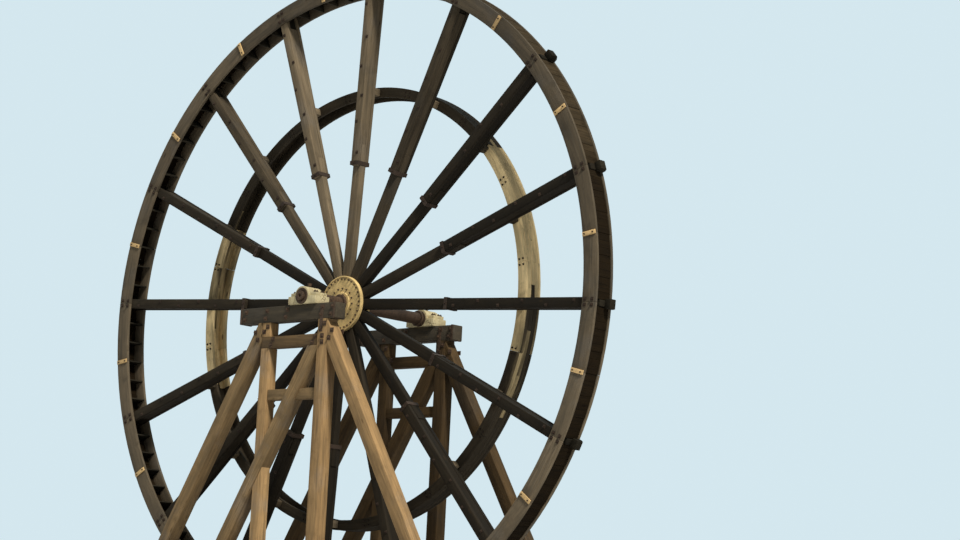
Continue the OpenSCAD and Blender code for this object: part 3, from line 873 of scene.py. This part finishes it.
class WHEEL_OT_wheel_iron(bpy.types.Operator):
    """Adds the wheel's bolts and bands"""
    bl_idname = "wheel.wheel_iron"
    bl_label = "Wheel ironwork"

    def execute(self, context):
        # an iron band round each spoke and its cheeks' heels, with a bolt front and rear
        loose, band_t = 0.004, 0.012
        bm = bmesh.new()
        y0, y1 = cheek_face(-1, BAND_R), cheek_face(1, BAND_R)
        size = (SPOKE_W + loose, y1 - y0 + loose, sizes().strap)
        block(bm, (0, (y0 + y1) / 2, HUB_Z + BAND_R), size)
        ends = [f for f in bm.faces if abs(f.normal.z) > 0.5]
        bmesh.ops.delete(bm, geom=ends, context="FACES_ONLY")
        bmesh.ops.solidify(bm, geom=bm.faces[:], thickness=-band_t)
        face_out(bm)
        wear(bm, 0.003, 1)
        for side, y in ((-1, y0), (1, y1)):
            bolt(bm, (0, y + side * (band_t + 0.001), HUB_Z + BAND_R), (0, side, 0), "band")
        on_to_spoke(bm)
        spread_round(bm)
        keep(bm, "spoke_bands", "wheel", "iron")
        # through bolts along the cheeks, by turns at their one edge and the other
        run, off = 0.05, 0.06
        bm = bmesh.new()
        for side in (-1, 1):
            for i, r in enumerate(CHEEK_BOLTS):
                y0, y1 = heel_face(side, r), heel_face(side, r + run)
                out = Vector((0, side, 0)) - radial(0) * (side * (y1 - y0) / run)
                bolt(bm, (off * (-1) ** i, y0, HUB_Z + r), out, "cheek")
        on_to_spoke(bm)
        spread_round(bm)
        keep(bm, "cheek_bolts", "wheel", "iron")
        # bolts of the rim's side planks, at the spokes and through the cleats
        bm = bmesh.new()
        for side, face in ((-1, SHROUD_LO.y), (1, BACK_HI.y)):
            for r in RIM_BOLTS:
                for off in (-0.07, 0.07):
                    bolt(bm, (off, face, HUB_Z + r), (0, side, 0), "rim")
        on_to_spoke(bm)
        joint = PHASE + BAY / 2
        cleat_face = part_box("joint_cleats")[0].y
        for r in CLEAT_BOLTS:
            bolt(bm, on_wheel(r, joint, cleat_face), (0, -1, 0), "cleat", joint)
            for k in (-1, 1):
                a = joint + k * 0.09 / r
                bolt(bm, on_wheel(r, a, BACK_HI.y), (0, 1, 0), "joint", a)
        spread_round(bm)
        keep(bm, "rim_bolts", "wheel", "iron")
        # bolts of the inner ring at its joints; the spokes' chocks hide those at the spokes' front
        bm = bmesh.new()
        front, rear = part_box("ring_front")[0].y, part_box("ring_rear")[1].y
        for side, face, places in ((-1, front, (1,)), (1, rear, (0, 1))):
            for k in places:
                for turn in (-0.013, 0.013):
                    for r in RING_BOLTS:
                        a = PHASE + BAY / 2 * k + turn
                        bolt(bm, on_wheel(r, a, face), (0, side, 0), "ring", a)
        spread_round(bm)
        keep(bm, "ring_bolts", "wheel", "iron")
        return {"FINISHED"}


# bearings and trestles

class WHEEL_OT_bearings(bpy.types.Operator):
    """Dresses the two pillow bearings with their bolts, grease cups and end rings"""
    bl_idname = "wheel.bearings"
    bl_label = "Bearings"

    def execute(self, context):
        ring_in = JOURNAL_R + 0.0035
        for end in ENDS:
            for part in ("base", "cap"):
                n = f"bearing_{part}_{end}"
                bm = copied(n)
                ease(bm, 0.5, 0.010, 2)
                keep(bm, f"pillow_{part}_{end}", "trestles", "cream", (n,), smooth=40)
            lo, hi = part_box(f"bearing_base_{end}")
            y = (lo.y + hi.y) / 2
            # cap bolts, with the smaller holding-down bolts outside them
            bm = bmesh.new()
            for side in (-1, 1):
                for d in (-1, 1):
                    for kind, x in (("cap", CAP_X), ("foot", FOOT_X)):
                        at = (side * x, y + d * BEARING_BOLT_Y, HUB_Z + FLANGE_Z)
                        bolt(bm, at, (0, 0, 1), kind)
            for foot, top, radius, sides in GREASE_CUP:
                rod(bm, (0, y, HUB_Z + foot), (0, y, HUB_Z + top), radius, sides)
            keep(bm, f"bearing_bolts_{end}", "trestles", "rust", smooth=40)
            # rings on the bearing's ends, that the shaft shows in
            bm = bmesh.new()
            for face, out in ((lo.y, -1), (hi.y, 1)):
                spun(bm, [(r, face + out * d) for r, d in (
                    (ring_in, 0.001), (0.215, 0.001), (0.215, 0.014),
                    (0.207, 0.022), (0.148, 0.022), (ring_in, 0.014))])
            weld(bm)
            keep(bm, f"bearing_rings_{end}", "trestles", "rust", smooth=35)
        return {"FINISHED"}


class WHEEL_OT_trestles(bpy.types.Operator):
    """Dresses the posts, rakers, beams, ties, girts and sills"""
    bl_idname = "wheel.trestles"
    bl_label = "Trestles"

    def execute(self, context):
        kinds = (
            ("post_right", "warm", "warm_timber"), ("post_left", "warm", "warm_timber"),
            ("raker_right", "warm", "warm_timber"), ("raker_middle", "bare", "warm_timber"),
            ("raker_left", "bare", "warm_timber"), ("beam", "beam", "warm_timber"),
            ("tie", "brown", "warm_timber"), ("girts", "bare", "weathered_timber"),
            ("outriggers", "warm", "weathered_timber"), ("sill", "sill", "weathered_timber"))
        for end, seed in (("front", 50), ("rear", 70)):
            for k, (n, finish, slot) in enumerate(kinds):
                # the rear trestle takes a darker copy of its timbers: painted shade
                if end == "rear" and finish in ("warm", "bare", "brown"):
                    finish = "shade"
                sawn([f"{n}_{end}"], f"{n}_timber_{end}", "trestles", finish, seed=seed + k)
        sawn(["cross_sills"], "cross_sill_timbers", "trestles", "sill", seed=90)
        return {"FINISHED"}


class WHEEL_OT_trestle_iron(bpy.types.Operator):
    """Adds the trestles' bolts, straps and joint plates"""
    bl_idname = "wheel.trestle_iron"
    bl_label = "Trestle ironwork"

    def execute(self, context):
        for end in ENDS:
            blo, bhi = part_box(f"beam_{end}")
            plo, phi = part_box(f"post_right_{end}")
            qlo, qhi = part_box(f"post_left_{end}")
            tlo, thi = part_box(f"tie_{end}")
            slo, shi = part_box(f"sill_{end}")
            px, qx = (plo.x + phi.x) / 2, (qlo.x + qhi.x) / 2
            beam_z, tie_z, sill_z = (blo.z + bhi.z) / 2, (tlo.z + thi.z) / 2, (slo.z + shi.z) / 2
            half_foot = 0.21
            bm = bmesh.new()
            for out, face, post, tie in ((-1, blo.y, qlo.y, tlo.y), (1, bhi.y, qhi.y, thi.y)):
                # pairs of bolts: middle x and z, half their spread along x and z, and the face they are on
                pairs = []
                for x in (px - 0.06, px + 0.30, qx, blo.x + 0.22, (px + qx) / 2 - 0.3):
                    pairs.append((x, beam_z, 0.03, 0.1, face))
                pairs += [
                    (px, phi.z - 0.20, 0.07, 0.07, face),
                    (qx, qhi.z - 0.18, 0.065, 0.065, post),
                    (px + 0.30, phi.z - 0.42, 0.05, 0.10, face),
                    (qx - 0.32, qhi.z - 0.35, -0.05, 0.10, face),
                    (qx + 0.25, tie_z, 0.04, 0.07, tie),
                    (px - 0.33, tie_z, 0.04, 0.07, tie),
                    (px, tlo.z + 0.15, 0.0, 0.08, face)]
                # at the feet, above the sill and in it
                for x, y in ((px, face), (qx, post)):
                    pairs += [(x, shi.z + 0.16, 0.07, 0.0, y), (x, sill_z, 0.07, 0.0, face)]
                for n, lean in (("raker_right", 1), ("raker_middle", -1), ("raker_left", -1)):
                    rlo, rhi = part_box(f"{n}_{end}")
                    foot = rhi.x - half_foot if lean > 0 else rlo.x + half_foot
                    pairs += [
                        (foot - lean * 0.09, shi.z + 0.15, 0.07, -0.04 * lean, face),
                        (foot, sill_z, 0.08, 0.0, face)]
                for x, z, dx, dz, y in pairs:
                    for k in (-1, 1):
                        bolt(bm, (x + k * dx, y, z + k * dz), (0, out, 0))
            keep(bm, f"trestle_bolts_{end}", "trestles", "rust")
            # a strap over the joint of beam and right post, and a band round each end of the beam
            bm = bmesh.new()
            z0, z1 = phi.z - 0.34, bhi.z - 0.05
            high, deep = bhi.z - blo.z + 0.02, bhi.y - blo.y + 0.018
            bands = (blo.x + BAND_IN, bhi.x - BAND_IN)
            for out, face in ((-1, blo.y), (1, bhi.y)):
                y = face + out * IRON_T / 2
                block(bm, (px - 0.06, y, (z0 + z1) / 2), (sizes().strap, IRON_T, z1 - z0))
                for x in bands:
                    block(bm, (x, y, beam_z), (BAND_W, IRON_T, high))
            for x in bands:
                for z, d in ((blo.z, -1), (bhi.z, 1)):
                    block(bm, (x, (blo.y + bhi.y) / 2, z + d * IRON_T / 2), (BAND_W, deep, IRON_T))
            wear(bm, 0.003, 1)
            keep(bm, f"joint_straps_{end}", "trestles", "rust")
        # bolts down through the sills into the cross sills, set aslant where the cross sill is single
        bm = bmesh.new()
        for end in ENDS:
            slo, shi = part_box(f"sill_{end}")
            places = [(slo.x + 0.35, 0.0), *((x, 0.09) for x in CROSS_SILLS), (shi.x - 0.35, 0.0)]
            for x, slant in places:
                for k in (-1, 1):
                    at = (x + k * 0.08, (slo.y + shi.y) / 2 + k * slant, shi.z)
                    bolt(bm, at, (0, 0, 1))
        keep(bm, "sill_bolts", "trestles", "rust")
        return {"FINISHED"}


# stage

def towards(azimuth, elevation):
    """Unit vector at an azimuth off the front and an elevation, both in degrees."""
    a, e = math.radians(azimuth), math.radians(elevation)
    return Vector((math.sin(a) * math.cos(e), -math.cos(a) * math.cos(e), math.sin(e)))


def swung(a, b, angle):
    """Two square unit vectors turned in their own plane, a towards b."""
    return math.cos(angle) * a + math.sin(angle) * b, math.cos(angle) * b - math.sin(angle) * a


class WHEEL_OT_stage(bpy.types.Operator):
    """Lays the floor and sets the lights, the world and the camera"""
    bl_idname = "wheel.stage"
    bl_label = "Stage"

    def execute(self, context):
        scene = context.scene
        bm = bmesh.new()
        bmesh.ops.create_circle(bm, cap_ends=True, cap_tris=False, segments=96, radius=400)
        mesh = bpy.data.meshes.new("studio_floor")
        bm.to_mesh(mesh)
        bm.free()
        floor = bpy.data.objects.new("studio_floor", mesh)
        scene.collection.objects.link(floor)
        f = Finish("studio_floor")
        soft = f.noise(f.place(), 0.35, 3, 0.5)
        pale = f.blend((0.66, 0.67, 0.68), (0.70, 0.71, 0.71), soft)
        mesh.materials.append(f.done(pale, 0.9, specular=0.2))
        # pale world: plain ambient light on the object, a pale backdrop to the eye
        world = bpy.data.worlds.new("studio")
        scene.world = world
        world.use_nodes = True
        w = Tree(world.node_tree)
        w.nodes.remove(w.nodes["Background"])
        seen, glossy, through = (
            w.node("ShaderNodeLightPath", {}, out=f"Is {kind} Ray")
            for kind in ("Camera", "Glossy", "Transmission"))
        seen = seen.math("ADD", glossy.math("ADD", through, clamp=True), clamp=True)
        fill = w.node("ShaderNodeBackground", {}, (0.90, 0.96, 1.0), 0.19)
        back = w.node("ShaderNodeBackground", {}, (0.66, 0.80, 0.86), 1.0)
        sky = w.node("ShaderNodeMixShader", {}, seen, fill, back)
        w.feed(w.nodes["World Output"].inputs["Surface"], sky)
        for name, azimuth, height, strength, colour, angle in LAMPS:
            lamp = bpy.data.lights.new(name, "SUN")
            lamp.energy, lamp.color, lamp.angle = strength, colour, math.radians(angle)
            light = bpy.data.objects.new(name, lamp)
            way = towards(azimuth, height)
            light.rotation_euler = way.to_track_quat("Z", "Y").to_euler()
            light.location = way * 60
            scene.collection.objects.link(light)
        # the camera stands low, to the right of the wheel's front, and looks up past the hub
        stand = towards(VIEW_AZIMUTH, VIEW_ELEVATION) * (VIEW_DISTANCE * RIM_R)
        ahead = -stand.normalized()
        right = ahead.cross(Vector((0, 0, 1))).normalized()
        up = right.cross(ahead)
        right, ahead = swung(right, ahead, math.atan2(HUB_RIGHT, FOCAL))
        ahead, up = swung(ahead, up, math.atan2(HUB_DOWN, math.hypot(FOCAL, HUB_RIGHT)))
        right, up = swung(right, up, math.radians(VIEW_ROLL))
        data = bpy.data.cameras.new("photo_view")
        data.sensor_width, data.lens, data.clip_end = FILM_W, FOCAL / PICTURE_W * FILM_W, 2000
        camera = bpy.data.objects.new("photo_view", data)
        place = Matrix.Translation(Vector((0, RIM_Y, HUB_Z)) + stand)
        camera.matrix_world = place @ Matrix((right, up, -ahead)).transposed().to_4x4()
        scene.collection.objects.link(camera)
        scene.camera = camera
        scene.view_settings.view_transform = "Standard"
        return {"FINISHED"}


class WHEEL_PT_panel(bpy.types.Panel):
    """Lists the wheel's sizes, colours and pieces"""
    bl_idname = "WHEEL_PT_panel"
    bl_label = "Bucket Wheel"
    bl_space_type = "VIEW_3D"
    bl_region_type = "UI"
    bl_category = "Bucket Wheel"

    def draw(self, context):
        for group in (context.scene.wheel_sizes, context.scene.wheel_colours):
            for name in group.__annotations__:
                self.layout.prop(group, name)
        for operator in OPERATORS:
            self.layout.operator(operator.bl_idname)


OPERATORS = (
    WHEEL_OT_stage, WHEEL_OT_spokes, WHEEL_OT_rim, WHEEL_OT_inner_ring, WHEEL_OT_hub, WHEEL_OT_shaft,
    WHEEL_OT_wheel_iron, WHEEL_OT_bearings, WHEEL_OT_trestles, WHEEL_OT_trestle_iron)
CLASSES = (WheelSizes, WheelColours, *OPERATORS, WHEEL_PT_panel)


def register():
    for c in CLASSES:
        bpy.utils.register_class(c)
    bpy.types.Scene.wheel_sizes = PointerProperty(type=WheelSizes)
    bpy.types.Scene.wheel_colours = PointerProperty(type=WheelColours)


def unregister():
    del bpy.types.Scene.wheel_colours
    del bpy.types.Scene.wheel_sizes
    for c in reversed(CLASSES):
        bpy.utils.unregister_class(c)


def main():
    register()
    for operator in OPERATORS:
        group, name = operator.bl_idname.split(".")
        getattr(getattr(bpy.ops, group), name)()


if __name__ == "__main__":
    main()
